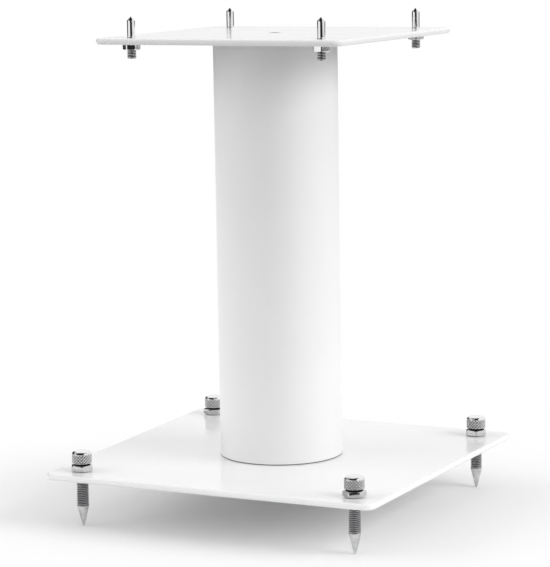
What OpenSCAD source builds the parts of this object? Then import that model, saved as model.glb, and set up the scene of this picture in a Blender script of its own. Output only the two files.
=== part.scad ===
// Speaker stand: a round column between two steel plates, on four adjustable
// spike feet, with four pointed pins that carry the speaker.
// Millimetres. Z is up, X runs along the front edge, the origin is on the floor
// below the column's axis.

/* [Stand] */
// Height from the floor to the top plate's upper face
stand_h = 400; // [300:5:800]
// Thickness of both plates
plate_t = 5; // [4:0.5:8]
// Radius of the plates' corners, seen from above
plate_corner_r = 5; // [3:0.5:20]
// Radius that rounds the plates' upper and lower edges
plate_edge_r = 1.6; // [0.4:0.1:1.9]

/* [Base plate] */
// Length of the base plate's front edge
base_front_w = 294; // [240:1:400]
// How much longer the base plate's back edge is than its front edge
base_flare = 13; // [0:1:40]
// Depth of the base plate from front to back
base_d = 294; // [240:1:400]
// Height of the base plate's underside above the floor
base_clear_h = 41; // [36:0.5:55]

/* [Top plate] */
// Length of the top plate's front edge
top_front_w = 218; // [180:1:320]
// How much longer the top plate's back edge is than its front edge
top_flare = 8; // [0:1:30]
// Depth of the top plate from front to back
top_d = 226; // [180:1:320]

/* [Column] */
// Outside diameter of the column tube
column_d = 103; // [76:1:120]
// Wall of the column tube
column_wall = 2; // [1.5:0.5:4]
// Thickness of the two discs welded inside the tube's ends
end_plate_t = 6; // [4:0.5:10]
// Diameter of the threaded boss on each disc
boss_d = 24; // [18:1:40]
// Height of the threaded boss
boss_h = 16; // [10:1:30]

/* [Feet] */
// Distance of a foot's axis from the plate's side edge
foot_inset_x = 25; // [20:0.5:40]
// Distance of a foot's axis from the front or back edge
foot_inset_y = 22.5; // [20:0.5:40]
// Outside diameter of the foot's thread
foot_thread_d = 10; // [8:1:12]
// Length of the spike's cone
foot_cone_h = 16.8; // [10:0.2:24]
// Diameter of the spike's blunt tip
foot_tip_d = 1.8; // [1:0.1:4]
// Width of the foot's lock nut across its flats
foot_nut_af = 17; // [16:0.5:20]
// Height of the foot's lock nut
foot_nut_h = 6; // [4:0.5:9]
// Diameter of the knurled cap knob
knob_d = 16.4; // [15:0.2:20]
// Height of the cap knob
knob_h = 10.6; // [9:0.2:14]
// Diameter of the flat on the knob's crown
knob_crown_d = 10.6; // [8:0.2:13]
// Height of the sloping shoulder below the crown
knob_shoulder_h = 2.1; // [0.8:0.1:3]
// Depth of the thread inside the knob
knob_bore_h = 7; // [4:0.2:7.4]

/* [Top pins] */
// Distance of a pin's axis from the plate's side edge
pin_inset_x = 25; // [18:0.5:45]
// Distance of a pin's axis from the front or back edge
pin_inset_y = 21; // [18:0.5:45]
// Diameter of the pin's smooth nose
pin_d = 6.5; // [5:0.1:6.8]
// Height of the pin above the top plate, with its point
pin_h = 17; // [10:0.5:25]
// Height of the pin's point
pin_point_h = 3.2; // [2:0.1:6]
// Outside diameter of the pin's thread
pin_thread_d = 8; // [7:1:8]
// Width of the pin's jam nut across its flats
pin_nut_af = 13; // [12:0.5:16]
// Height of the pin's jam nut
pin_nut_h = 5; // [3:0.5:7]
// Length of thread left below the jam nut
pin_end_h = 7; // [4:0.5:12]

/* [Fixings] */
// Thread diameter of the countersunk screw in the top plate
screw_d = 6; // [5:1:8]
// Diameter of the countersunk head
screw_head_d = 10; // [9.5:0.1:14]
// Length of the countersunk screw
screw_l = 22; // [16:1:24]
// Width of the socket in the countersunk head, across its flats
screw_socket_af = 4; // [3:0.5:5]
// Thread diameter of the hex bolt under the base
bolt_d = 8; // [6:1:12]
// Length of the hex bolt below its head
bolt_l = 25; // [20:1:26]
// Width of the hex bolt's head across its flats
bolt_head_af = 13; // [13:0.5:19]
// Height of the hex bolt's head
bolt_head_h = 5.3; // [4:0.1:8]
// Outside diameter of the washer under the base
washer_d = 24; // [20:1:40]
// Thickness of the washer
washer_t = 2; // [1:0.5:3]
// Diameter of the two small holes for a speaker's own screws
screw_hole_d = 2.6; // [2:0.1:5]
// Distance of a small hole from the plate's middle line
screw_hole_x = 67; // [60:1:80]
// Distance of a small hole behind the column's axis
screw_hole_y = 62; // [40:1:80]

/* [Hidden] */
$fn = 64;

// Radial clearance of a thread in its nut or tapped plate
thread_gap = 0.05;
// Radial clearance of a screw in a plain hole
hole_gap = 0.5;
// Radial clearance of a disc welded inside the tube
weld_gap = 0.1;
// Gap between the knob's foot and the lock nut
knob_gap = 0.2;
// Room left at the end of a blind hole
end_gap = 0.6;
// Overrun of a cutting tool past the face it cuts
cut = 1;
// Share of a nut's height that its turned chamfer takes at each end
nut_chamfer_share = 0.16;
// Share of a thread's diameter that its end chamfer takes
end_chamfer_share = 0.1;
// Diameter share, of a nut's flats, where its chamfer starts
nut_face_share = 0.94;
// Share of the knob's diameter that the chamfer at its foot takes
knob_foot_share = 0.03;
// Facets of a hexagon
hex_sides = 6;
// Facets of a plate's corner, kept modest because a hull is a mesh
plate_fn = 48;

base_top_z = base_clear_h + plate_t;
top_under_z = stand_h - plate_t;
column_h = top_under_z - base_top_z;
tube_bore_d = column_d - 2 * column_wall;
foot_nut_top_z = base_top_z + foot_nut_h;
knob_z = foot_nut_top_z + knob_gap;
spike_h = knob_z + knob_bore_h - end_gap;
foot_hole_d = foot_thread_d + 2 * thread_gap;
pin_hole_d = pin_thread_d + 2 * thread_gap;
pin_below_h = plate_t + pin_nut_h + pin_end_h;
screw_head_h = (screw_head_d - screw_d) / 2;

// Half width of a plate at a distance in from its front edge
function half_w(front_w, flare, depth, y) = (front_w + flare * y / depth) / 2;

foot_front_x = half_w(base_front_w, base_flare, base_d, foot_inset_y) - foot_inset_x;
foot_back_x = half_w(base_front_w, base_flare, base_d, base_d - foot_inset_y) - foot_inset_x;
foot_y = base_d / 2 - foot_inset_y;
pin_front_x = half_w(top_front_w, top_flare, top_d, pin_inset_y) - pin_inset_x;
pin_back_x = half_w(top_front_w, top_flare, top_d, top_d - pin_inset_y) - pin_inset_x;
pin_y = top_d / 2 - pin_inset_y;

FRONT_LEFT = [-1, -1];
FRONT_RIGHT = [1, -1];
BACK_LEFT = [-1, 1];
BACK_RIGHT = [1, 1];
CORNERS = [FRONT_LEFT, FRONT_RIGHT, BACK_LEFT, BACK_RIGHT];

// How far each nut happens to be turned where it was tightened
foot_nut_turn_fl = 0;
foot_nut_turn_fr = 24;
foot_nut_turn_bl = 27;
foot_nut_turn_br = -9;
pin_nut_turn_fl = 24;
pin_nut_turn_fr = -5;
pin_nut_turn_bl = 0;
pin_nut_turn_br = -7;

// Place of a foot and of a pin in the plan, for a corner such as [-1, 1]
function foot_at(c) = [c[0] * (c[1] < 0 ? foot_front_x : foot_back_x), c[1] * foot_y];
function pin_at(c) = [c[0] * (c[1] < 0 ? pin_front_x : pin_back_x), c[1] * pin_y];

module at(place, z) {
    translate([place[0], place[1], z]) children();
}

// One rounded puck in each corner of a plate, wrapped into the plate
module plate_puck(r) {
    rotate_extrude($fn = plate_fn)
        intersection() {
            translate([-plate_edge_r, 0])
                rounded_bar(r + plate_edge_r, plate_t, plate_edge_r);
            square([r + cut, plate_t]);
        }
}

// A bar's outline with all four corners rounded
module rounded_bar(w, h, r) {
    translate([0, r]) square([w, h - 2 * r]);
    translate([r, 0]) square([w - 2 * r, h]);
    for (x = [r, w - r], y = [r, h - r])
        translate([x, y]) circle(r, $fn = plate_fn / 2);
}

module plate(front_w, flare, depth) {
    r = plate_corner_r;
    y = depth / 2 - r;
    hull()
        for (c = CORNERS) {
            w = front_w + (c[1] < 0 ? 0 : flare);
            translate([c[0] * (w / 2 - r), c[1] * y]) plate_puck(r);
        }
}

// A hexagon prism standing on z = 0, with its corners turned down at both ends
module hex_block(af, h, lower, upper) {
    corner_r = af / sqrt(3);
    face_r = af * nut_face_share / 2;
    slope = h * nut_chamfer_share;
    intersection() {
        cylinder(h = h, r = corner_r, $fn = hex_sides);
        rotate_extrude()
            polygon([
                [0, 0],
                [lower ? face_r : corner_r, 0],
                [corner_r, lower ? slope : 0],
                [corner_r, h - (upper ? slope : 0)],
                [upper ? face_r : corner_r, h],
                [0, h]
            ]);
    }
}

module nut(af, h, bore_d) {
    difference() {
        hex_block(af, h, true, true);
        translate([0, 0, -cut]) cylinder(h = h + 2 * cut, d = bore_d);
    }
}

module base_plate() {
    color("white") difference() {
        translate([0, 0, base_clear_h]) plate(base_front_w, base_flare, base_d);
        for (c = CORNERS)
            at(foot_at(c), base_clear_h - cut)
                cylinder(h = plate_t + 2 * cut, d = foot_hole_d);
        translate([0, 0, base_clear_h - cut])
            cylinder(h = plate_t + 2 * cut, d = bolt_d + 2 * hole_gap);
    }
}

module column_tube() {
    color("white") translate([0, 0, base_top_z]) difference() {
        cylinder(h = column_h, d = column_d, $fn = 2 * $fn);
        translate([0, 0, -cut])
            cylinder(h = column_h + 2 * cut, d = tube_bore_d, $fn = 2 * $fn);
    }
}

// A disc with a threaded boss, standing on z = 0 with the boss upwards
module end_plate(thread_d) {
    color("silver") difference() {
        union() {
            cylinder(h = end_plate_t, d = tube_bore_d - 2 * weld_gap);
            cylinder(h = end_plate_t + boss_h, d = boss_d);
        }
        translate([0, 0, -cut])
            cylinder(h = end_plate_t + boss_h + 2 * cut, d = thread_d + 2 * thread_gap);
    }
}

module lower_end_plate() {
    translate([0, 0, base_top_z]) end_plate(bolt_d);
}

module upper_end_plate() {
    translate([0, 0, top_under_z]) mirror([0, 0, 1]) end_plate(screw_d);
}

module top_plate() {
    color("white") difference() {
        translate([0, 0, top_under_z]) plate(top_front_w, top_flare, top_d);
        for (c = CORNERS)
            at(pin_at(c), top_under_z - cut)
                cylinder(h = plate_t + 2 * cut, d = pin_hole_d);
        translate([0, 0, top_under_z - cut])
            cylinder(h = plate_t + 2 * cut, d = screw_d + 2 * thread_gap);
        translate([0, 0, stand_h - screw_head_h - thread_gap])
            cylinder(
                h = screw_head_h + thread_gap,
                d1 = screw_d,
                d2 = screw_head_d + 2 * thread_gap
            );
        for (side = [-1, 1])
            translate([side * screw_hole_x, screw_hole_y, top_under_z - cut])
                cylinder(h = plate_t + 2 * cut, d = screw_hole_d);
    }
}

module top_plate_screw() {
    tip_chamfer = screw_d * end_chamfer_share;
    color("dimgray") translate([0, 0, stand_h]) difference() {
        rotate_extrude()
            polygon([
                [0, 0],
                [screw_head_d / 2, 0],
                [screw_d / 2, -screw_head_h],
                [screw_d / 2, tip_chamfer - screw_l],
                [screw_d / 2 - tip_chamfer, -screw_l],
                [0, -screw_l]
            ]);
        translate([0, 0, -screw_head_h])
            cylinder(h = screw_head_h + cut, d = screw_socket_af * 2 / sqrt(3), $fn = hex_sides);
    }
}

module base_bolt() {
    tip_chamfer = bolt_d * end_chamfer_share;
    color("silver") translate([0, 0, base_clear_h - washer_t]) {
        rotate_extrude()
            polygon([
                [0, 0],
                [bolt_d / 2, 0],
                [bolt_d / 2, bolt_l - tip_chamfer],
                [bolt_d / 2 - tip_chamfer, bolt_l],
                [0, bolt_l]
            ]);
        translate([0, 0, -bolt_head_h]) hex_block(bolt_head_af, bolt_head_h, true, false);
    }
}

module base_washer() {
    color("silver") translate([0, 0, base_clear_h - washer_t]) difference() {
        cylinder(h = washer_t, d = washer_d);
        translate([0, 0, -cut]) cylinder(h = washer_t + 2 * cut, d = bolt_d + 2 * hole_gap);
    }
}

// A threaded spike that stands on its blunt tip at z = 0
module foot_spike(corner) {
    r = foot_thread_d / 2;
    chamfer = foot_thread_d * end_chamfer_share;
    color("gainsboro") at(foot_at(corner), 0) rotate_extrude()
        polygon([
            [0, 0],
            [foot_tip_d / 2, 0],
            [r, foot_cone_h],
            [r, spike_h - chamfer],
            [r - chamfer, spike_h],
            [0, spike_h]
        ]);
}

module foot_lock_nut(corner, turn) {
    color("gainsboro") at(foot_at(corner), base_top_z) rotate([0, 0, turn])
        nut(foot_nut_af, foot_nut_h, foot_hole_d);
}

// A cap with a sloping shoulder and a blind thread that takes the spike's end
module foot_knob(corner) {
    r = knob_d / 2;
    foot_chamfer = knob_d * knob_foot_share;
    color("gainsboro") at(foot_at(corner), knob_z) difference() {
        rotate_extrude()
            polygon([
                [0, 0],
                [r - foot_chamfer, 0],
                [r, foot_chamfer],
                [r, knob_h - knob_shoulder_h],
                [knob_crown_d / 2, knob_h],
                [0, knob_h]
            ]);
        translate([0, 0, -cut]) cylinder(h = knob_bore_h + cut, d = foot_hole_d);
    }
}

// A pin with a turned point, a smooth nose and a threaded lower half
module top_pin(corner) {
    r = pin_thread_d / 2;
    chamfer = pin_thread_d * end_chamfer_share;
    color("gainsboro") at(pin_at(corner), stand_h) rotate_extrude()
        polygon([
            [0, -pin_below_h],
            [r - chamfer, -pin_below_h],
            [r, chamfer - pin_below_h],
            [r, 0],
            [pin_d / 2, 0],
            [pin_d / 2, pin_h - pin_point_h],
            [0, pin_h]
        ]);
}

module pin_jam_nut(corner, turn) {
    color("gainsboro") at(pin_at(corner), top_under_z - pin_nut_h) rotate([0, 0, turn])
        nut(pin_nut_af, pin_nut_h, pin_hole_d);
}

module foot_spike_front_left() foot_spike(FRONT_LEFT);
module foot_spike_front_right() foot_spike(FRONT_RIGHT);
module foot_spike_back_left() foot_spike(BACK_LEFT);
module foot_spike_back_right() foot_spike(BACK_RIGHT);
module foot_lock_nut_front_left() foot_lock_nut(FRONT_LEFT, foot_nut_turn_fl);
module foot_lock_nut_front_right() foot_lock_nut(FRONT_RIGHT, foot_nut_turn_fr);
module foot_lock_nut_back_left() foot_lock_nut(BACK_LEFT, foot_nut_turn_bl);
module foot_lock_nut_back_right() foot_lock_nut(BACK_RIGHT, foot_nut_turn_br);
module foot_knob_front_left() foot_knob(FRONT_LEFT);
module foot_knob_front_right() foot_knob(FRONT_RIGHT);
module foot_knob_back_left() foot_knob(BACK_LEFT);
module foot_knob_back_right() foot_knob(BACK_RIGHT);
module top_pin_front_left() top_pin(FRONT_LEFT);
module top_pin_front_right() top_pin(FRONT_RIGHT);
module top_pin_back_left() top_pin(BACK_LEFT);
module top_pin_back_right() top_pin(BACK_RIGHT);
module pin_jam_nut_front_left() pin_jam_nut(FRONT_LEFT, pin_nut_turn_fl);
module pin_jam_nut_front_right() pin_jam_nut(FRONT_RIGHT, pin_nut_turn_fr);
module pin_jam_nut_back_left() pin_jam_nut(BACK_LEFT, pin_nut_turn_bl);
module pin_jam_nut_back_right() pin_jam_nut(BACK_RIGHT, pin_nut_turn_br);

base_plate();
column_tube();
lower_end_plate();
upper_end_plate();
top_plate();
top_plate_screw();
base_bolt();
base_washer();
foot_spike_front_left();
foot_spike_front_right();
foot_spike_back_left();
foot_spike_back_right();
foot_lock_nut_front_left();
foot_lock_nut_front_right();
foot_lock_nut_back_left();
foot_lock_nut_back_right();
foot_knob_front_left();
foot_knob_front_right();
foot_knob_back_left();
foot_knob_back_right();
top_pin_front_left();
top_pin_front_right();
top_pin_back_left();
top_pin_back_right();
pin_jam_nut_front_left();
pin_jam_nut_front_right();
pin_jam_nut_back_left();
pin_jam_nut_back_right();
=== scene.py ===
"""Looks for the speaker stand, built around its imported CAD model.

Metres, the CAD's own frame: Z up, X along the front edge, the origin on the floor
below the column's axis. Every piece is a closed surface worked out with numpy: rings
of points, where each ring is one step along a profile and closes round the piece.
"""
import math

import bpy
import numpy as np
from mathutils import Euler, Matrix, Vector


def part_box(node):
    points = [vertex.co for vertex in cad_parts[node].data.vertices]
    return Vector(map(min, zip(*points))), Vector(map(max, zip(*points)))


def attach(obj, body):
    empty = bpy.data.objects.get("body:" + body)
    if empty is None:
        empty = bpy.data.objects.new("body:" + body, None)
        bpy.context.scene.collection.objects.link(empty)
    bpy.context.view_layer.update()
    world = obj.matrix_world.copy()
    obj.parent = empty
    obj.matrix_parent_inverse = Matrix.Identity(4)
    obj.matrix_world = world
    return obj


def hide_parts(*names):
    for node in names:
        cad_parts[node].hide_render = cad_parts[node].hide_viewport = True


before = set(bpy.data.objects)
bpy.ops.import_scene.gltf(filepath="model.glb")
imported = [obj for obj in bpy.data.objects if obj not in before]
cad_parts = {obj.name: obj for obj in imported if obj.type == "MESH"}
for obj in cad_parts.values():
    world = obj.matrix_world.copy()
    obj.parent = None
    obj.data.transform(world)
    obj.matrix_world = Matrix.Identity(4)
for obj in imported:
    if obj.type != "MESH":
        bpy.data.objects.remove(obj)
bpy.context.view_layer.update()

MM = 0.001
TURN = 2 * math.pi
CORNERS = ("front_left", "front_right", "back_left", "back_right")

# The photograph's height in pixels and the pinhole camera that was fitted to it
PHOTO_H = 567
CAMERA_AT = (0.87667, -1.81674, 0.48996)
CAMERA_AZIMUTH, CAMERA_DOWN, CAMERA_ROLL = 25.854, 8.442, -0.934
FOCAL_PX = 2432.04
SENSOR = 0.036

# Standard threads of the feet and the pins
FOOT_PITCH = 1.5 * MM
PIN_PITCH = 1.25 * MM
THREAD_DEPTH_SHARE = 0.61
# Shares of half a pitch that the flat crest and the flank take, the root has the rest
CREST_SHARE, FLANK_SHARE = 0.14, 0.62
# How much of a flank's slope is eased at its ends instead of straight
FLANK_EASE = 0.35
# Points round a threaded rod, and rings to each pitch
THREAD_SIDES, THREAD_ROWS = 56, 10
# Points round and rings up each diamond of the knurl
KNURL_SIDES, KNURL_ROWS = 10, 12

# Half the distance across a hexagon's flats, in its corner radius
FLAT_SHARE = math.cos(math.pi / 6)
# Slope of the chamfer on nuts and bolt heads
CHAMFER_SLOPE = math.tan(math.pi / 6)
# Faces that meet at more than this stay sharp after a cut
SHARP_ANGLE = math.radians(40)
# Rings on a plate's faces beside its rounded edge, in edge radii from the side
FACE_RINGS = (2.4, 1.5)
# Keeps a division by a length from failing when the length is nothing
TINY = 1e-12


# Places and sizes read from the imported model

def middle(node):
    """Centre of a CAD node's box in the plan."""
    low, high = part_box(node)
    return np.array([(low.x + high.x) / 2, (low.y + high.y) / 2])


def heights(node):
    """Lowest and highest Z of a CAD node."""
    low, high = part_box(node)
    return low.z, high.z


def node_points(node):
    """All vertices of a CAD node as an array."""
    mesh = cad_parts[node].data
    points = np.zeros(len(mesh.vertices) * 3, np.float32)
    mesh.vertices.foreach_get("co", points)
    return points.reshape(-1, 3).astype(float)


def outer_radius(node):
    """Half the width of a round CAD node."""
    low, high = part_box(node)
    return (high.x - low.x) / 2


def hex_turn(node):
    """Angle of one corner of a hexagonal node about its axis, in radians."""
    points = node_points(node)[:, :2] - middle(node)
    far = points[np.argmax(np.hypot(points[:, 0], points[:, 1]))]
    return math.atan2(far[1], far[0])


def hex_corner(node):
    """Distance from a hexagonal node's axis to its corners."""
    points = node_points(node)[:, :2] - middle(node)
    return np.hypot(points[:, 0], points[:, 1]).max()


# Surfaces

def closed_mesh(name, rings, wrap=False, edge=None, painted_shade_mask=None):
    """Quads join each ring to the next, and each ring closes on itself.

    rings is (m, n, 3). With wrap the last ring joins the first, as on a tube wall;
    otherwise a fan closes each end on that ring's mean point. Faces are turned
    outwards by the sign of the volume. The edge mark and the painted-shade mark (m, n)
    are kept as attributes that the materials read: the edge mark is 1 on a softened
    edge, the painted-shade mark is 1 in a groove's bottom, where shade is painted dark.
    """
    m, n = rings.shape[:2]
    points = rings.reshape(-1, 3)
    index = np.arange(m * n).reshape(m, n)
    lower = index if wrap else index[:-1]
    upper = np.roll(index, -1, 0) if wrap else index[1:]
    quads = np.stack([lower, np.roll(lower, -1, 1), np.roll(upper, -1, 1), upper], -1)
    quads = quads.reshape(-1, 4)
    marks = {
        label: np.broadcast_to(0.0 if value is None else value, (m, n)).reshape(-1)
        for label, value in (("edge", edge), ("painted_shade_mask", painted_shade_mask))
    }
    triangles = np.zeros((0, 3), int)
    if not wrap:
        points = np.vstack([points, rings[0].mean(0), rings[-1].mean(0)])
        marks = {label: np.append(value, [0, 0]) for label, value in marks.items()}
        first, last = index[0], index[-1]
        start = np.stack([np.roll(first, -1), first, np.full(n, m * n)], -1)
        end = np.stack([last, np.roll(last, -1), np.full(n, m * n + 1)], -1)
        triangles = np.vstack([start, end])
    split = np.vstack([quads[:, [0, 1, 2]], quads[:, [0, 2, 3]], triangles])
    a, b, c = (points[split[:, k]] for k in range(3))
    if np.einsum("ij,ij->", a, np.cross(b, c)) < 0:
        quads, triangles = quads[:, ::-1], triangles[:, ::-1]
    mesh = bpy.data.meshes.new(name)
    mesh.from_pydata(points.tolist(), [], quads.tolist() + triangles.tolist())
    mesh.polygons.foreach_set("use_smooth", np.ones(len(mesh.polygons), bool))
    for label, value in marks.items():
        layer = mesh.attributes.new(label, "FLOAT", "POINT")
        layer.data.foreach_set("value", value.astype(np.float32))
    piece = bpy.data.objects.new(name, mesh)
    bpy.context.scene.collection.objects.link(piece)
    return piece


def soften(profile, radius, steps=4, share=0.2):
    """Round each inner corner of a profile and return it with its edge marks.

    profile is (..., k, 2). A corner P between A and B becomes a quadratic Bezier from
    the point d towards A to the point d towards B, where d is the radius, or `share`
    of the shorter side where that is less. One more point at twice d on each side
    keeps the flats flat. The marks rise to 1 in the middle of each curve.
    """
    outer = profile.shape[:-2]
    t = np.linspace(0, 1, steps + 1)[:, None]
    plain = np.zeros(outer + (1,))
    bump = np.broadcast_to(np.sin(np.pi * t[:, 0]), outer + (steps + 1,))
    out, marks = [profile[..., :1, :]], [plain]
    for k in range(1, profile.shape[-2] - 1):
        p = profile[..., k : k + 1, :]
        to_a = profile[..., k - 1 : k, :] - p
        to_b = profile[..., k + 1 : k + 2, :] - p
        la = np.linalg.norm(to_a, axis=-1, keepdims=True)
        lb = np.linalg.norm(to_b, axis=-1, keepdims=True)
        d = np.minimum(radius, share * np.minimum(la, lb) + 1e-6 * MM)
        a = p + to_a / np.maximum(la, TINY) * d
        b = p + to_b / np.maximum(lb, TINY) * d
        curve = (1 - t) ** 2 * a + 2 * t * (1 - t) * p + t**2 * b
        out += [2 * a - p, curve, 2 * b - p]
        marks += [plain, bump, plain]
    out.append(profile[..., -1:, :])
    marks.append(plain)
    return np.concatenate(out, -2), np.concatenate(marks, -1)


def turned(name, profile, at, angles, wrap=False, marks=None, painted_shade_mask=None):
    """A surface round a vertical axis.

    profile is (k, 2) or (n, k, 2) of radius and height, one row for each angle when
    the outline changes round the axis. Ring k is (r cos a, r sin a, z) moved to `at`.
    """
    n = len(angles)
    profile = np.broadcast_to(profile, (n,) + profile.shape[-2:])
    r, z = profile[..., 0].T, profile[..., 1].T
    rings = np.stack(
        [r * np.cos(angles) + at[0], r * np.sin(angles) + at[1], z], axis=-1
    )
    if marks is not None:
        marks = np.broadcast_to(marks, (n, marks.shape[-1])).T
    return closed_mesh(name, rings, wrap, marks, painted_shade_mask)


def full_turn(count):
    """Angles evenly round the axis, without the last that would meet the first."""
    return np.arange(count) * TURN / count


def profile_round(angles, points):
    """One profile for each angle, (n, k, 2), from k pairs of radius and height.

    Each radius and height is one number, or an array with a value for each angle.
    """
    n = len(angles)
    return np.stack(
        [
            np.stack([np.broadcast_to(r, n), np.broadcast_to(z, n)], -1)
            for r, z in points
        ],
        axis=-2,
    )


def hex_radius(angles, corner_r, turn, soft=0.3 * MM):
    """Distance to a hexagon's side at each angle, with its corners rounded.

    The side is at a = corner_r cos 30 deg, so r = a / cos(angle from the flat's
    middle). A smooth minimum with the rounding circle just inside the corner takes
    the point off.
    """
    flat = corner_r * FLAT_SHARE
    off = np.mod(angles - turn, TURN / 6) - TURN / 12
    r = flat / np.cos(off)
    limit = corner_r - soft
    blend = soft / 2
    gap = np.clip(0.5 + (limit - r) / (2 * blend), 0, 1)
    return limit + (r - limit) * gap - blend * gap * (1 - gap)


def thread(height, angles, outline_r, major_r, pitch):
    """Radius of a right-hand V thread cut into a turned outline.

    The phase is height / pitch - angle / turn. The cut goes from nothing over the
    crest's eighth of a pitch to full depth over the root's quarter, and the radius is
    the smaller of the outline and the thread, so that cones and chamfers run out.
    """
    phase = height[:, None] / pitch - angles[None, :] / TURN
    from_crest = np.abs(np.mod(phase, 1) - 0.5) * 2
    flank = np.clip((from_crest - CREST_SHARE) / FLANK_SHARE, 0, 1)
    eased = flank * flank * (3 - 2 * flank)
    cut = eased * FLANK_EASE + flank * (1 - FLANK_EASE)
    depth = THREAD_DEPTH_SHARE * pitch
    return np.minimum(outline_r[:, None], major_r - depth * cut)


def thread_depth(radius, outline_r, pitch):
    """0 where a threaded rod's radius meets its outline, 1 at the thread's root."""
    return np.clip((outline_r[:, None] - radius) / (THREAD_DEPTH_SHARE * pitch), 0, 1)


def thread_crests(depth):
    """1 on a thread's crest, falling to 0 a fifth of the way down its flank."""
    return np.clip(1 - depth * 5, 0, 1)


def rings_of(radius, height, angles, at):
    """Rings from a radius grid (m, n) and heights (m), round the axis at `at`."""
    return np.stack(
        [
            radius * np.cos(angles) + at[0],
            radius * np.sin(angles) + at[1],
            np.broadcast_to(height[:, None], radius.shape),
        ],
        axis=-1,
    )


def steps_along(points, spacing):
    """Heights from the first to the last of `points`, no further apart than spacing."""
    parts = [
        np.linspace(a, b, max(2, int(math.ceil(abs(b - a) / spacing)) + 1))[:-1]
        for a, b in zip(points[:-1], points[1:])
    ]
    return np.append(np.concatenate(parts), points[-1])


# Pieces

def plate(name, node, corner_r, edge_r, corner_steps=13, edge_steps=9):
    """A steel plate with rounded corners and rounded upper and lower edges.

    Each ring is the plan's outline, moved in by d and set at height z. The outline is
    an arc of radius corner_r - d round each corner's centre, and (d, z) runs from the
    upper face over a quarter circle, down the side and under to the lower face. The
    half width is read from the CAD node once in front and once at the back.
    """
    points = node_points(node)
    low, high = points.min(0), points.max(0)
    front_half = np.abs(points[points[:, 1] < 0, 0]).max()
    back_half = np.abs(points[points[:, 1] > 0, 0]).max()
    centres = np.array([
        [front_half - corner_r, low[1] + corner_r],
        [back_half - corner_r, high[1] - corner_r],
        [corner_r - back_half, high[1] - corner_r],
        [corner_r - front_half, low[1] + corner_r],
    ])
    arc = np.linspace(-math.pi / 2, 0, corner_steps)
    directions = np.concatenate([arc + k * math.pi / 2 for k in range(4)])
    centres = np.repeat(centres, corner_steps, 0)
    quarter = np.linspace(0, math.pi / 2, edge_steps)
    inset = edge_r * (1 - np.sin(quarter))
    drop = edge_r * (1 - np.cos(quarter))
    inner = np.array(FACE_RINGS) * edge_r
    plain = np.zeros(len(inner))
    d = np.concatenate([inner, inset, inset[::-1], inner[::-1]])
    z = np.concatenate([
        plain + high[2], high[2] - drop, low[2] + drop[::-1], plain + low[2]
    ])
    r = (corner_r - d)[:, None]
    rings = np.stack(
        [
            centres[:, 0] + r * np.cos(directions),
            centres[:, 1] + r * np.sin(directions),
            np.broadcast_to(z[:, None], (len(z), len(directions))),
        ],
        axis=-1,
    )
    edge = np.concatenate([plain, np.sin(2 * quarter)])
    edge = np.concatenate([edge, edge[::-1]])
    piece = closed_mesh(name, rings, edge=edge[:, None])
    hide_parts(node)
    return piece


def drill(piece, cutters):
    """Cut each cutter's shape out of the piece and keep the result as its mesh."""
    for cutter in cutters:
        step = piece.modifiers.new("hole", "BOOLEAN")
        step.operation = "DIFFERENCE"
        step.solver = "EXACT"
        step.object = cutter
    bpy.context.view_layer.update()
    shaped = piece.evaluated_get(bpy.context.evaluated_depsgraph_get())
    mesh = bpy.data.meshes.new_from_object(shaped)
    piece.modifiers.clear()
    piece.data = mesh
    mesh.set_sharp_from_angle(angle=SHARP_ANGLE)
    for cutter in cutters:
        bpy.data.objects.remove(cutter)


def column(name, node, wall=2 * MM, seam_h=0.6 * MM, seam_d=0.7 * MM):
    """The tube: a closed wall profile, softened at its ends, turned round the axis.

    Each end is relieved outside by seam_d over seam_h, as the joint to a plate shows,
    and meets the full radius at `slope_end` of that height. The painted-shade mark is
    1 in the relief and falls to 0 at 1.35 of its height, so that shade is painted dark
    into the joint.
    """
    slope_end, shade_end = 1.4, 1.35
    low, high = heights(node)
    outer = outer_radius(node)
    inner, relieved, half = outer - wall, outer - seam_d, (low + high) / 2
    profile = np.array([
        [inner, half], [inner, low], [relieved, low], [relieved, low + seam_h],
        [outer, low + slope_end * seam_h], [outer, high - slope_end * seam_h],
        [relieved, high - seam_h], [relieved, high], [inner, high], [inner, half],
    ])
    soft, marks = soften(profile, radius=0.3 * MM)
    z = soft[:, 1]
    from_end = np.minimum(z - low, high - z)
    outside = soft[:, 0] > inner + 0.1 * MM
    # Shade is painted dark into the relief outside, fading out just above it
    fall = np.clip((shade_end - from_end / seam_h) / (shade_end - 1), 0, 1)
    painted_shade_mask = np.where(outside, fall, 0)
    piece = turned(
        name, soft[:-1], (0, 0), full_turn(256), wrap=True, marks=marks[:-1],
        painted_shade_mask=painted_shade_mask[:-1, None],
    )
    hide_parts(node)
    return piece


def hex_outline(node, angles, face_share):
    """A hexagonal node's side, its round end face, and the drop from one to the other.

    Round the axis the side is at hex_radius(angle). The end face is a circle of
    face_share of the flats; from it a cone at 30 degrees drops to the side, so the
    chamfer's edge rises and falls round the nut as a real one does.
    """
    corner_r = hex_corner(node)
    side = hex_radius(angles, corner_r, hex_turn(node))
    face = face_share * corner_r * FLAT_SHARE
    return side, face, (side - face) * CHAMFER_SLOPE


def nut(name, node, bore_r, face_share, mouth=0.5 * MM, side_steps=40):
    """A hexagon nut, both ends turned down at 30 degrees, its bore's mouths at 45."""
    low, high = heights(node)
    half = (low + high) / 2
    angles = full_turn(6 * side_steps)
    side, face, drop = hex_outline(node, angles, face_share)
    profile = profile_round(angles, [
        (bore_r, half), (bore_r, high - mouth), (bore_r + mouth, high), (face, high),
        (side, high - drop), (side, low + drop), (face, low), (bore_r + mouth, low),
        (bore_r, low + mouth), (bore_r, half),
    ])
    soft, marks = soften(profile, radius=0.16 * MM)
    at = middle(node)
    piece = turned(name, soft[:, :-1], at, angles, wrap=True, marks=marks[:, :-1])
    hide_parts(node)
    return piece


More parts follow.
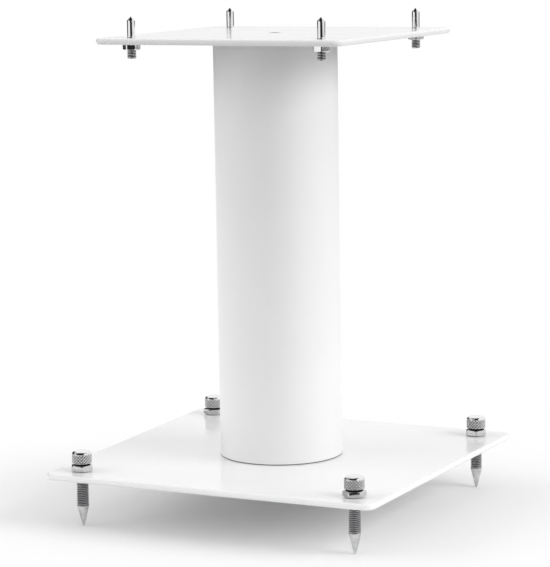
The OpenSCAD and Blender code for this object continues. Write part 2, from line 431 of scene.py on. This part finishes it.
def spike(name, node, cone_h, tip_r, chamfer=1 * MM):
    """A threaded rod with a long cone and a blunt tip, as rings up its axis.

    The outline is the smallest of the rod's radius, a cone that widens evenly from
    tip_r over cone_h, and a 45 degree chamfer at the top. The lowest rings are drawn
    in to round the tip. Above the cone the thread comes in over one pitch.
    """
    low, high = heights(node)
    major = outer_radius(node)
    angles = full_turn(THREAD_SIDES)
    row = FOOT_PITCH / THREAD_ROWS
    tip_up = np.array([0, 0.12, 0.3]) * MM
    tip_in = np.array([0.45, 0.18, 0.05]) * MM
    z = np.concatenate([
        low + tip_up,
        steps_along([low + 0.6 * MM, low + cone_h], 1 * MM),
        steps_along([low + cone_h + row, high], row),
    ])
    up = z - low
    outline = np.minimum(major, tip_r + (major - tip_r) * up / cone_h)
    outline = np.minimum(outline, major - chamfer + (high - z))
    outline[: len(tip_in)] -= tip_in
    radius = thread(z, angles, outline, major, FOOT_PITCH)
    run_out = np.clip((up - cone_h) / FOOT_PITCH, 0, 1)[:, None]
    radius = outline[:, None] + (radius - outline[:, None]) * run_out
    depth = thread_depth(radius, outline, FOOT_PITCH)
    rings = rings_of(radius, z, angles, middle(node))
    # The thread's depth also marks its roots, where shade is painted dark
    piece = closed_mesh(name, rings, edge=thread_crests(depth), painted_shade_mask=depth)
    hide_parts(node)
    return piece


def knob(name, node, crown_r, shoulder_h, bore_r, knurls=20, knurl_depth=0.5 * MM):
    """A cap with a domed crown and a diamond knurl round its side.

    The side's radius is R minus depth times (1 - height of the diamond), where the
    diamond is the smaller of two triangle waves that climb the side at 45 degrees,
    one each way: count * angle / turn +/- height / knurl width. Its top is cut flat at
    land_at, which leaves polished lands between the grooves. A relief under it and
    a fine groove over it set the knurl off, and shade is painted dark into both. The
    shoulder is a quarter ellipse, and the crown a parabola: top - rise * (r / crown
    radius) ** 2. The painted-shade mark runs from an eighth to three quarters of the
    knurl's cut, so shade is painted into its grooves, and the edge mark peaks on the
    lands' rims, where the worn colour also paints a highlight.
    """
    low, high = heights(node)
    at = middle(node)
    radius = outer_radius(node)
    width = TURN * radius / knurls
    angles = full_turn(knurls * KNURL_SIDES)
    groove_h, rise, land_at = 0.25 * MM, 0.15 * MM, 0.45
    relief_h, fade_h, bore_h = 0.95 * MM, 0.3 * MM, 6.8 * MM
    side_low, side_high = low + relief_h, high - shoulder_h - groove_h
    z = steps_along([side_low, side_high], width / KNURL_ROWS)
    wave = np.array([1, -1])[:, None, None]
    climb = wave * (z - low)[None, :, None] / width
    phase = knurls * angles[None, None, :] / TURN + climb
    diamond = (1 - np.abs(np.mod(phase, 1) - 0.5) * 2).min(0)
    fade_in = np.clip((z - side_low) / fade_h, 0, 1)
    fade = fade_in * np.clip((side_high - z) / fade_h, 0, 1)
    cut = 1 - np.minimum(diamond / land_at, 1)
    grid = radius - knurl_depth * cut * fade[:, None]
    side = rings_of(grid, z, angles, at)

    def ring(r, height):
        """One plain ring, of the same count of points as the knurl's."""
        return rings_of(np.full((1, len(angles)), r), np.array([height]), angles, at)

    # Each row is a ring's radius, its height and its deep attribute, inside to outside
    relief = [
        (bore_r, low + bore_h, 1), (bore_r, low + 0.3 * MM, 1),
        (bore_r + 0.3 * MM, low, 1), (radius - 1.4 * MM, low, 1),
        (radius - 1.3 * MM, low + 0.5 * MM, 1), (radius - 0.4 * MM, low + 0.8 * MM, 1),
        (radius - 0.1 * MM, low + 0.88 * MM, 0),
    ]
    groove = [
        (radius - 0.06 * MM, side_high + 0.04 * MM, 0),
        (radius - 0.3 * MM, side_high + 0.1 * MM, 1),
        (radius - 0.3 * MM, side_high + groove_h - 0.08 * MM, 1),
        (radius - 0.05 * MM, side_high + groove_h - 0.03 * MM, 0),
    ]
    t = np.linspace(0, np.pi / 2, 10)
    arc_r = crown_r + (radius - crown_r) * np.cos(t)
    arc_z = high - shoulder_h + (shoulder_h - rise) * np.sin(t)
    dome_r = np.linspace(crown_r, 0.1 * crown_r, 8)[1:]
    dome_z = high - rise * (dome_r / crown_r) ** 2
    crown_rs, crown_zs = np.append(arc_r, dome_r), np.append(arc_z, dome_z)
    above = groove + [(r, height, 0) for r, height in zip(crown_rs, crown_zs)]
    rings = np.concatenate(
        [ring(r, h) for r, h, _ in relief] + [side] + [ring(r, h) for r, h, _ in above]
    )
    crest, painted_shade_mask = np.zeros(rings.shape[:2]), np.zeros(rings.shape[:2])
    side_rows = slice(len(relief), len(relief) + len(z))
    crest[side_rows] = np.clip(1 - np.abs(diamond / land_at - 1) * 4, 0, 1)
    # Shade painted dark into the relief, the knurl's grooves and the groove over it
    painted_shade_mask[: len(relief)] = np.array([d for _, _, d in relief])[:, None]
    painted_shade_mask[side_rows] = np.clip(cut * 1.6 - 0.2, 0, 1) * fade[:, None]
    painted_shade_mask[side_rows.stop :] = np.array([d for _, _, d in above])[:, None]
    piece = closed_mesh(name, rings, edge=crest, painted_shade_mask=painted_shade_mask)
    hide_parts(node)
    return piece


def pin(name, node, plate_top, nose_r, point_h):
    """A turned point and smooth nose above the plate, a thread below it.

    Up to the plate's top the outline is the rod with a 45 degree chamfer at its end,
    above it the nose's radius or a cone that narrows over point_h to a blunt point,
    whichever is less, with a fine groove where the cone starts.
    """
    chamfer, blunt_r, groove = 0.8 * MM, 0.03 * MM, 0.04 * MM
    low, high = heights(node)
    major = outer_radius(node)
    angles = full_turn(THREAD_SIDES)
    shoulder = high - point_h
    z = np.concatenate([
        steps_along([low, plate_top], PIN_PITCH / THREAD_ROWS),
        [plate_top + 0.01 * MM, plate_top + 0.5 * MM],
        steps_along([plate_top + 2 * MM, shoulder - 0.3 * MM], 2 * MM),
        [shoulder - 0.1 * MM, shoulder, shoulder + 0.1 * MM, shoulder + 0.3 * MM],
        [high - 0.6 * MM, high - 0.25 * MM, high - 0.08 * MM, high],
    ])
    below = z <= plate_top
    outline = np.where(below, major - chamfer + (z - low), nose_r)
    outline = np.minimum(outline, major)
    outline = np.minimum(outline, (high - z) * nose_r / point_h + blunt_r)
    outline = np.where(np.abs(z - shoulder) < 1e-3 * MM, outline - groove, outline)
    threaded = thread(z, angles, outline, major, PIN_PITCH)
    radius = np.where(below[:, None], threaded, outline[:, None])
    depth = thread_depth(radius, outline, PIN_PITCH)
    rings = rings_of(radius, z, angles, middle(node))
    crests = np.where(below[:, None], thread_crests(depth), 0)
    # The thread's depth also marks its roots, where shade is painted dark
    piece = closed_mesh(name, rings, edge=crests, painted_shade_mask=depth)
    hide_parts(node)
    return piece


def countersunk_screw(name, node, head_r, shank_r, socket_af, side_steps=16):
    """A flat-topped screw, countersunk at 45 degrees, with a hexagon socket.

    The profile runs from the socket's floor up its wall, over the head, down the
    countersink and along the shank to the chamfered end.
    """
    low, high = heights(node)
    angles = full_turn(6 * side_steps)
    socket = hex_radius(angles, socket_af / math.sqrt(3), 0, soft=0.12 * MM)
    mouth, chamfer = 0.25 * MM, 0.6 * MM
    under_head = high - (head_r - shank_r)
    profile = profile_round(angles, [
        (0.2 * socket, under_head), (socket, under_head), (socket, high - mouth),
        (socket + mouth, high), (head_r, high), (shank_r, under_head),
        (shank_r, low + chamfer), (shank_r - chamfer, low),
    ])
    soft, marks = soften(profile, radius=0.1 * MM)
    piece = turned(name, soft, middle(node), angles, marks=marks)
    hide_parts(node)
    return piece


def hex_bolt(
    name, node, head_h, shank_r, face_share=0.92, chamfer=0.8 * MM, side_steps=24
):
    """A bolt with its hexagon head down, chamfered as a nut is, and its shank up."""
    low, high = heights(node)
    angles = full_turn(6 * side_steps)
    side, face, drop = hex_outline(node, angles, face_share)
    head_top = low + head_h
    profile = profile_round(angles, [
        (0.3 * face, low), (face, low), (side, low + drop), (side, head_top),
        (shank_r, head_top), (shank_r, high - chamfer), (shank_r - chamfer, high),
    ])
    soft, marks = soften(profile, radius=0.15 * MM)
    piece = turned(name, soft, middle(node), angles, marks=marks)
    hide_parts(node)
    return piece


def washer(name, node, bore_r):
    """A flat ring with softened edges."""
    low, high = heights(node)
    outer, half = outer_radius(node), (low + high) / 2
    profile = np.array([
        [bore_r, half], [bore_r, high], [outer, high], [outer, low], [bore_r, low],
        [bore_r, half],
    ])
    soft, marks = soften(profile, radius=0.2 * MM)
    piece = turned(
        name, soft[:-1], middle(node), full_turn(96), wrap=True, marks=marks[:-1]
    )
    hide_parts(node)
    return piece


# Materials

# The middle part of a noise's values, which becomes 0 to 1
CLOUD_LOW, CLOUD_HIGH = 0.3, 0.7
WEAR_LOW, WEAR_HIGH = 0.35, 0.7
WEAR_PER_METRE = 180
# Turning marks hardly change across the axis
TURNING_ACROSS = 4
GROOVE_ROUGHNESS = 0.5
BUMP_DISTANCE = 0.05 * MM


def new_group(name, inputs, outputs):
    """An empty shader node group with named value inputs and outputs."""
    group = bpy.data.node_groups.new(name, "ShaderNodeTree")
    add, kind = group.interface.new_socket, "NodeSocketFloat"
    for label, value in inputs:
        add(label, in_out="INPUT", socket_type=kind).default_value = value
    for label in outputs:
        add(label, in_out="OUTPUT", socket_type=kind)
    return group, group.nodes.new("NodeGroupInput"), group.nodes.new("NodeGroupOutput")


def grain_group():
    """Fine grain and broad clouds on Object coordinates, each from 0 to 1."""
    group, given, result = new_group(
        "grain", [("Grain per metre", 900), ("Cloud per metre", 12)], ("Grain", "Cloud")
    )
    place = group.nodes.new("ShaderNodeTexCoord")
    for label, source, detail, rough in (
        ("Grain", "Grain per metre", 2, 0.5), ("Cloud", "Cloud per metre", 4, 0.6)
    ):
        noise = group.nodes.new("ShaderNodeTexNoise")
        noise.inputs["Detail"].default_value = detail
        noise.inputs["Roughness"].default_value = rough
        group.links.new(place.outputs["Object"], noise.inputs["Vector"])
        group.links.new(given.outputs[source], noise.inputs["Scale"])
        group.links.new(noise.outputs["Fac"], result.inputs[label])
    return group


def wear_and_shading_group():
    """Where an edge is rubbed, and where light is painted along it: the edge attribute,
    broken up by a noise.
    """
    group, given, result = new_group("edge_wear_and_shading", [("Amount", 0.5)], ("Wear",))
    edge = group.nodes.new("ShaderNodeAttribute")
    edge.attribute_name = "edge"
    place = group.nodes.new("ShaderNodeTexCoord")
    noise = group.nodes.new("ShaderNodeTexNoise")
    noise.inputs["Scale"].default_value = WEAR_PER_METRE
    noise.inputs["Detail"].default_value = 3
    broken = group.nodes.new("ShaderNodeMapRange")
    broken.inputs["From Min"].default_value = WEAR_LOW
    broken.inputs["From Max"].default_value = WEAR_HIGH
    times = group.nodes.new("ShaderNodeMath")
    times.operation = "MULTIPLY"
    amount = group.nodes.new("ShaderNodeMath")
    amount.operation = "MULTIPLY"
    link = group.links.new
    link(place.outputs["Object"], noise.inputs["Vector"])
    link(noise.outputs["Fac"], broken.inputs["Value"])
    link(broken.outputs["Result"], times.inputs[0])
    link(edge.outputs["Fac"], times.inputs[1])
    link(times.outputs[0], amount.inputs[0])
    link(given.outputs["Amount"], amount.inputs[1])
    link(amount.outputs[0], result.inputs["Wear"])
    return group


GRAIN = grain_group()
WEAR_AND_SHADING = wear_and_shading_group()


def finish_of(
    name, light, dark, worn_and_shading, roughness, spread, grain, cloud, bump, wear_and_shading,
    metallic=0, painted_shade=None, rings=0,
):
    """A Principled material with clouds of colour, uneven gloss, grain, rubbed edges
    partly painted as light, and shade painted into grooves.

    Colour runs from dark to light with the clouds, to worn on rubbed edges, which also
    paints light along them, and to a painted shade in the bottom of grooves, where the
    painted-shade mark is 1 and it is matt.
    Roughness is its mean plus or minus spread with the clouds. The bump's height is
    the grain, plus turning marks round the axis when rings (per metre of height) is
    given.
    """
    material = bpy.data.materials.new(name)
    material.use_nodes = True
    nodes, link = material.node_tree.nodes, material.node_tree.links.new
    shader = nodes["Principled BSDF"]
    shader.inputs["Metallic"].default_value = metallic
    pattern = nodes.new("ShaderNodeGroup")
    pattern.node_tree = GRAIN
    pattern.inputs["Grain per metre"].default_value = grain
    pattern.inputs["Cloud per metre"].default_value = cloud
    rubbed_and_shading = nodes.new("ShaderNodeGroup")
    rubbed_and_shading.node_tree = WEAR_AND_SHADING
    rubbed_and_shading.inputs["Amount"].default_value = wear_and_shading
    shade = nodes.new("ShaderNodeMapRange")
    shade.inputs["From Min"].default_value = CLOUD_LOW
    shade.inputs["From Max"].default_value = CLOUD_HIGH
    link(pattern.outputs["Cloud"], shade.inputs["Value"])
    colour = nodes.new("ShaderNodeMix")
    colour.data_type = "RGBA"
    colour.inputs["A"].default_value = (*dark, 1)
    colour.inputs["B"].default_value = (*light, 1)
    link(shade.outputs["Result"], colour.inputs["Factor"])
    # Rubbed edges take the worn colour, partly wear and partly painted light: a
    # highlight, on the plates shade
    edge = nodes.new("ShaderNodeMix")
    edge.data_type = "RGBA"
    edge.inputs["B"].default_value = (*worn_and_shading, 1)
    link(rubbed_and_shading.outputs["Wear"], edge.inputs["Factor"])
    link(colour.outputs["Result"], edge.inputs["A"])
    gloss = nodes.new("ShaderNodeMapRange")
    gloss.inputs["From Min"].default_value = CLOUD_LOW
    gloss.inputs["From Max"].default_value = CLOUD_HIGH
    gloss.inputs["To Min"].default_value = roughness - spread
    gloss.inputs["To Max"].default_value = roughness + spread
    link(pattern.outputs["Cloud"], gloss.inputs["Value"])
    shown, dull = edge.outputs["Result"], gloss.outputs["Result"]
    # Shade painted dark into the bottom of grooves, where the mark is 1
    if painted_shade:
        painted_shade_mask = nodes.new("ShaderNodeAttribute")
        painted_shade_mask.attribute_name = "painted_shade_mask"
        shaded = nodes.new("ShaderNodeMix")
        shaded.data_type = "RGBA"
        shaded.inputs["B"].default_value = (*painted_shade, 1)
        link(painted_shade_mask.outputs["Fac"], shaded.inputs["Factor"])
        link(shown, shaded.inputs["A"])
        matt = nodes.new("ShaderNodeMix")
        matt.inputs["B"].default_value = GROOVE_ROUGHNESS
        link(painted_shade_mask.outputs["Fac"], matt.inputs["Factor"])
        link(dull, matt.inputs["A"])
        shown, dull = shaded.outputs["Result"], matt.outputs["Result"]
    link(shown, shader.inputs["Base Color"])
    link(dull, shader.inputs["Roughness"])
    height = pattern.outputs["Grain"]
    if rings:
        place = nodes.new("ShaderNodeTexCoord")
        wave = nodes.new("ShaderNodeTexNoise")
        squash = nodes.new("ShaderNodeMapping")
        across = TURNING_ACROSS
        squash.inputs["Scale"].default_value = (across, across, rings)
        wave.inputs["Scale"].default_value = 1
        wave.inputs["Detail"].default_value = 2
        link(place.outputs["Object"], squash.inputs["Vector"])
        link(squash.outputs["Vector"], wave.inputs["Vector"])
        add = nodes.new("ShaderNodeMath")
        add.operation = "ADD"
        link(pattern.outputs["Grain"], add.inputs[0])
        link(wave.outputs["Fac"], add.inputs[1])
        height = add.outputs[0]
    relief = nodes.new("ShaderNodeBump")
    relief.inputs["Strength"].default_value = bump
    relief.inputs["Distance"].default_value = BUMP_DISTANCE
    link(height, relief.inputs["Height"])
    link(relief.outputs["Normal"], shader.inputs["Normal"])
    return material


# Each has its name, its light, dark and worn colour, then its measures by name. The
# worn colour on edges is wear, and also painted light: lighter edges paint a highlight,
# the plates' darker ones paint shade.
PLATE_COAT = finish_of(
    "plate_powder_coat", (0.90, 0.90, 0.90), (0.87, 0.87, 0.872), (0.85, 0.85, 0.852),
    roughness=0.17, spread=0.03, grain=700, cloud=9, bump=0.06, wear_and_shading=0.4,
)
# Where a last colour is given, it is the shade painted into the piece's grooves
COLUMN_COAT = finish_of(
    "column_powder_coat", (0.89, 0.89, 0.89), (0.86, 0.86, 0.862), (0.93, 0.93, 0.93),
    roughness=0.34, spread=0.04, grain=650, cloud=10, bump=0.16, wear_and_shading=0.3,
    painted_shade=(0.16, 0.16, 0.16),
)
CHROME = finish_of(
    "bright_chrome", (0.88, 0.88, 0.885), (0.80, 0.80, 0.81), (0.94, 0.94, 0.94),
    roughness=0.07, spread=0.02, grain=2500, cloud=160, bump=0.02, wear_and_shading=0.5, metallic=1,
    painted_shade=(0.04, 0.04, 0.042),
)
SATIN_NICKEL = finish_of(
    "satin_nickel", (0.70, 0.70, 0.705), (0.60, 0.60, 0.605), (0.90, 0.90, 0.90),
    roughness=0.08, spread=0.03, grain=2500, cloud=150, bump=0.03, wear_and_shading=0.8, metallic=1,
    painted_shade=(0.10, 0.10, 0.105),
)
TURNED_STEEL = finish_of(
    "turned_steel", (0.62, 0.62, 0.63), (0.50, 0.50, 0.51), (0.78, 0.78, 0.78),
    roughness=0.3, spread=0.04, grain=2200, cloud=140, bump=0.06, wear_and_shading=0.8,
    metallic=1, rings=3000, painted_shade=(0.16, 0.16, 0.165),
)
ZINC = finish_of(
    "zinc_plate", (0.62, 0.63, 0.66), (0.50, 0.51, 0.54), (0.75, 0.76, 0.78),
    roughness=0.34, spread=0.08, grain=1500, cloud=90, bump=0.2, wear_and_shading=0.5, metallic=1,
)
BLACK_OXIDE = finish_of(
    "black_oxide", (0.035, 0.035, 0.038), (0.02, 0.02, 0.022), (0.16, 0.16, 0.16),
    roughness=0.4, spread=0.06, grain=1800, cloud=120, bump=0.2, wear_and_shading=0.6,
)


def dress(piece, body, material):
    """Put the material on a piece, and let it ride on its CAD body."""
    piece.data.materials.clear()
    piece.data.materials.append(material)
    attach(piece, body)


# The stand

PLATE_CORNER, PLATE_EDGE = 9 * MM, 2.3 * MM
SCREW_HEAD_R, SCREW_R, SCREW_SOCKET = 5 * MM, 3 * MM, 4 * MM
BOLT_HEAD_H, BOLT_R, WASHER_BORE_R = 5.3 * MM, 4 * MM, 4.5 * MM
CONE_H, TIP_R = 16.8 * MM, 0.9 * MM
CROWN_R, SHOULDER_H, KNOB_BORE_R = 5 * MM, 2.3 * MM, 5.1 * MM
NOSE_R, POINT_H = 3.25 * MM, 3.2 * MM
LOCK_NUT_BORE_R, LOCK_NUT_FACE = 5.05 * MM, 0.84
JAM_NUT_BORE_R, JAM_NUT_FACE = 4.05 * MM, 0.92
# The two small holes in the top plate, to each side of its middle and behind it
HOLE_AT, HOLE_R = (67 * MM, 62 * MM), 1.3 * MM

base = plate("base_plate_coated", "base_plate", PLATE_CORNER, PLATE_EDGE)
dress(base, "frame", PLATE_COAT)
top = plate("top_plate_coated", "top_plate", PLATE_CORNER, PLATE_EDGE)
top_low, top_high = heights("top_plate")
below_plate = top_low - 1 * MM

# Each cutter stands out of the plate at both ends, and widens at 45 degrees at its top
sink = np.array([
    [SCREW_HEAD_R + 0.35 * MM, top_high + 0.3 * MM],
    [SCREW_HEAD_R + 0.05 * MM, top_high],
    [SCREW_R, top_high - 2.05 * MM],
    [SCREW_R, below_plate],
])
bore = np.array([
    [HOLE_R + 0.5 * MM, top_high + 0.2 * MM],
    [HOLE_R, top_high - 0.3 * MM],
    [HOLE_R, below_plate],
])
cutters = [turned("sink", sink, (0, 0), full_turn(64))]
for side in (-1, 1):
    hole_at = (side * HOLE_AT[0], HOLE_AT[1])
    cutters.append(turned("bore", bore, hole_at, full_turn(32)))
drill(top, cutters)
dress(top, "frame", PLATE_COAT)

dress(column("column_coated", "column_tube"), "frame", COLUMN_COAT)
screw = countersunk_screw(
    "top_screw_turned", "top_plate_screw", SCREW_HEAD_R, SCREW_R, SCREW_SOCKET
)
dress(screw, "frame", BLACK_OXIDE)
bolt = hex_bolt("base_bolt_turned", "base_bolt", BOLT_HEAD_H, BOLT_R)
dress(bolt, "frame", ZINC)
bolt_washer = washer("base_washer_turned", "base_washer", WASHER_BORE_R)
dress(bolt_washer, "frame", ZINC)
# The discs inside the tube are hidden, so their CAD meshes stay and are only painted
for node in ("lower_end_plate", "upper_end_plate"):
    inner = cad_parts[node].data
    inner.materials.clear()
    inner.materials.append(ZINC)

for corner in CORNERS:
    foot = spike("spike_turned_" + corner, "foot_spike_" + corner, CONE_H, TIP_R)
    dress(foot, "spike_" + corner, TURNED_STEEL)
    lock_nut = nut(
        "lock_nut_turned_" + corner, "foot_lock_nut_" + corner, LOCK_NUT_BORE_R,
        LOCK_NUT_FACE,
    )
    dress(lock_nut, "lock_nut_" + corner, SATIN_NICKEL)
    cap = knob(
        "knob_knurled_" + corner, "foot_knob_" + corner, CROWN_R, SHOULDER_H,
        KNOB_BORE_R,
    )
    dress(cap, "knob_" + corner, CHROME)
    point = pin("pin_turned_" + corner, "top_pin_" + corner, top_high, NOSE_R, POINT_H)
    dress(point, "pin_" + corner, CHROME)
    jam_nut = nut(
        "jam_nut_turned_" + corner, "pin_jam_nut_" + corner, JAM_NUT_BORE_R,
        JAM_NUT_FACE,
    )
    dress(jam_nut, "jam_nut_" + corner, CHROME)


# Camera, floor, light

def make_camera():
    """A pinhole with no shift: the photo's frame is centred on its axis.

    The focal length in pixels becomes millimetres by the sensor's long side, which
    stands for the frame's height.
    """
    data = bpy.data.cameras.new("camera")
    data.sensor_width = SENSOR / MM
    data.lens = FOCAL_PX * (SENSOR / MM) / PHOTO_H
    data.clip_start, data.clip_end = 0.05, 100
    camera = bpy.data.objects.new("camera", data)
    camera.location = CAMERA_AT
    tilt = Euler((math.radians(90 - CAMERA_DOWN), 0, math.radians(CAMERA_AZIMUTH)))
    roll = Euler((0, 0, math.radians(CAMERA_ROLL)))
    camera.rotation_euler = (tilt.to_matrix() @ roll.to_matrix()).to_euler()
    bpy.context.scene.collection.objects.link(camera)
    bpy.context.scene.camera = camera


def seen_plainly(nodes, link):
    """1 for camera, glossy and transmission rays, which see the white backdrop."""
    path = nodes.new("ShaderNodeLightPath")
    seen = path.outputs["Is Camera Ray"]
    for kind in ("Is Glossy Ray", "Is Transmission Ray"):
        either = nodes.new("ShaderNodeMath")
        either.operation = "MAXIMUM"
        link(seen, either.inputs[0])
        link(path.outputs[kind], either.inputs[1])
        seen = either.outputs[0]
    return seen


def ramp(nodes, link, value, start, end, low, high):
    """low up to start, high from end on, smooth between."""
    node = nodes.new("ShaderNodeMapRange")
    node.interpolation_type = "SMOOTHSTEP"
    node.inputs["From Min"].default_value = start
    node.inputs["From Max"].default_value = end
    node.inputs["To Min"].default_value = low
    node.inputs["To Max"].default_value = high
    link(value, node.inputs["Value"])
    return node.outputs["Result"]


def make_world(ambient, horizon):
    """White where it is seen, a dimmer light on the object.

    The light on the object falls from `ambient` overhead to `horizon` of it at the
    horizon, as in a room with a bright ceiling.
    """
    world = bpy.data.worlds.new("studio")
    world.use_nodes = True
    bpy.context.scene.world = world
    nodes, link = world.node_tree.nodes, world.node_tree.links.new
    place = nodes.new("ShaderNodeTexCoord")
    split = nodes.new("ShaderNodeSeparateXYZ")
    link(place.outputs["Generated"], split.inputs["Vector"])
    overhead = ramp(nodes, link, split.outputs["Z"], 0, 0.5, ambient * horizon, ambient)
    level = nodes.new("ShaderNodeMix")
    level.inputs["B"].default_value = 1
    link(seen_plainly(nodes, link), level.inputs["Factor"])
    link(overhead, level.inputs["A"])
    link(level.outputs["Result"], nodes["Background"].inputs["Strength"])
    nodes["Background"].inputs["Color"].default_value = (1, 1, 1, 1)


def make_floor(colour, bounced, near, far, edge, dim):
    """A pale table with real light and shadow near the stand.

    From `near` to `far` metres round the stand it turns into the plain white backdrop
    for the rays that see it. It bounces `bounced` of the light, and little beyond the
    table's `edge`.
    """
    half = 30
    corners = [(-half, -half, 0), (half, -half, 0), (half, half, 0), (-half, half, 0)]
    mesh = bpy.data.meshes.new("floor")
    mesh.from_pydata(corners, [], [(0, 1, 2, 3)])
    floor = bpy.data.objects.new("floor", mesh)
    bpy.context.scene.collection.objects.link(floor)
    material = bpy.data.materials.new("floor_paint")
    material.use_nodes = True
    nodes, link = material.node_tree.nodes, material.node_tree.links.new
    shader = nodes["Principled BSDF"]
    shader.inputs["Roughness"].default_value = 0.8
    shader.inputs["Specular IOR Level"].default_value = 0
    place = nodes.new("ShaderNodeTexCoord")
    away = nodes.new("ShaderNodeVectorMath")
    away.operation = "LENGTH"
    link(place.outputs["Object"], away.inputs[0])
    seen = seen_plainly(nodes, link)
    shade = nodes.new("ShaderNodeMix")
    shade.inputs["B"].default_value = colour
    link(seen, shade.inputs["Factor"])
    link(
        ramp(nodes, link, away.outputs["Value"], edge, 2 * edge, bounced, dim),
        shade.inputs["A"],
    )
    link(shade.outputs["Result"], shader.inputs["Base Color"])
    share = nodes.new("ShaderNodeMath")
    share.operation = "MULTIPLY"
    link(ramp(nodes, link, away.outputs["Value"], near, far, 0, 1), share.inputs[0])
    link(seen, share.inputs[1])
    white = nodes.new("ShaderNodeEmission")
    mix = nodes.new("ShaderNodeMixShader")
    link(share.outputs[0], mix.inputs["Fac"])
    link(shader.outputs["BSDF"], mix.inputs[1])
    link(white.outputs["Emission"], mix.inputs[2])
    link(mix.outputs["Shader"], nodes["Material Output"].inputs["Surface"])
    floor.data.materials.append(material)


def aim(thing, at, target):
    """Place a lamp at a point, with its light going towards the target."""
    thing.location = at
    direction = Vector(target) - Vector(at)
    thing.rotation_euler = direction.to_track_quat("-Z", "Y").to_euler()


def make_lamp(name, at, target, size, power):
    """A softbox of the given width and height in metres, hidden from reflections."""
    data = bpy.data.lights.new(name, "AREA")
    data.shape = "RECTANGLE"
    data.size, data.size_y = size
    data.energy = power
    lamp = bpy.data.objects.new(name, data)
    lamp.visible_glossy = False
    bpy.context.scene.collection.objects.link(lamp)
    aim(lamp, at, target)


# Flags lie this far above the floor
FLAG_UP = 1 * MM


def make_flag(name, corners, shade):
    """An evenly grey sheet that only reflections see, as a studio flags chrome; it
    glows at a set strength, lit by nothing, and paints its reflection into the metal.

    corners run along one long side and back along the other.
    """
    half = len(corners) // 2
    faces = [(k, k + 1, 2 * half - 2 - k, 2 * half - 1 - k) for k in range(half - 1)]
    mesh = bpy.data.meshes.new(name)
    mesh.from_pydata(corners, [], faces)
    flag = bpy.data.objects.new(name, mesh)
    bpy.context.scene.collection.objects.link(flag)
    material = bpy.data.materials.new(name)
    material.use_nodes = True
    nodes = material.node_tree.nodes
    nodes.remove(nodes["Principled BSDF"])
    # The sheet glows at a fixed strength: a painted reflection, not a lamp
    glow = nodes.new("ShaderNodeEmission")
    glow.inputs["Strength"].default_value = shade
    material.node_tree.links.new(
        glow.outputs["Emission"], nodes["Material Output"].inputs["Surface"]
    )
    flag.data.materials.append(material)
    flag.visible_camera = False
    flag.visible_diffuse = False
    flag.visible_shadow = False


def around(azimuth, distance, height=FLAG_UP):
    """A point seen from the stand: azimuth 0 is to the front, positive to the right."""
    turn = math.radians(azimuth)
    return (distance * math.sin(turn), -distance * math.cos(turn), height)


def make_far_flag(name, left, right, near, far, top, shade):
    """A sheet on the floor from `near` to `far` metres, then a wall up to `top`.

    It lies between two azimuths, which are taken from the camera's. A short low one
    paints a dark band into a front nut's side, as a painted reflection. Upright chrome
    mirrors the floor far off, and its cones the wall, so that these sheets paint its
    dark and grey reflections.
    """
    left, right = CAMERA_AZIMUTH + left, CAMERA_AZIMUTH + right
    make_flag(
        name,
        [
            around(left, near), around(left, far), around(left, far, top),
            around(right, far, top), around(right, far), around(right, near),
        ],
        shade,
    )


def make_painted_room_reflection(half_angle, upper, shade):
    """A painted reflection of a dark room on the camera's side: table's edge, floor,
    wall and ceiling, as one glowing sheet that only reflections see.

    Each pair is the distance towards the camera and the height; past the stand the
    distance is negative. The sheet widens with distance up to the wall, and from a
    metre up it reaches the two widths in `upper` to the left and right.
    """
    table, wall, ceiling = 0.45, 3, 4
    path = [
        (table, FLAG_UP), (wall, FLAG_UP), (wall, 0.6), (wall, 1.1), (wall, 2.6),
        (1.6, ceiling), (0, ceiling), (-2.3, ceiling),
    ]
    spread = math.tan(math.radians(half_angle))
    turn = math.radians(CAMERA_AZIMUTH)
    sides = []
    for side, overhead in zip((-1, 1), upper):
        row = []
        for distance, height in path:
            half = distance * spread if height < 1 else overhead
            x, y = side * half, -distance
            row.append((
                x * math.cos(turn) - y * math.sin(turn),
                x * math.sin(turn) + y * math.cos(turn), height,
            ))
        sides.append(row)
    make_flag("painted_room_reflection", sides[0] + sides[1][::-1], shade)


make_camera()
make_world(ambient=0.73, horizon=0.74)
make_floor(colour=0.95, bounced=0.9, near=0.19, far=0.42, edge=0.45, dim=0.12)
AIM = (0, 0, 0.2)
make_lamp("right_softbox", around(CAMERA_AZIMUTH + 66, 4.4, 2.4), AIM, (3.2, 2.2), 122)
make_lamp("left_softbox", around(CAMERA_AZIMUTH - 91, 4.4, 2.0), AIM, (5.4, 3.0), 90)
# The dark room is painted into the reflections only
make_painted_room_reflection(half_angle=30, upper=(5, 1.5), shade=0.02)
# Glowing sheets that only reflections see: painted dark reflections in the chrome, and
# the horizon card a painted pale grey one in the top plate
# Name, left and right azimuth, near and far distance, top of the wall, shade
make_far_flag("painted_dark_strip", -2, 15, 0.345, 0.43, 0.002, 0.02)
make_far_flag("right_front_flag", 30, 68, 5, 8.6, 0.01, 0.02)
make_far_flag("left_back_flag", -170, -92, 5, 26, 15, 0.05)
make_far_flag("right_back_flag", 95, 172, 5, 26, 0.5, 0.2)
make_far_flag("horizon_card", 172, 188, 26, 27, 4.2, 0.86)

bpy.context.scene.view_settings.view_transform = "Standard"
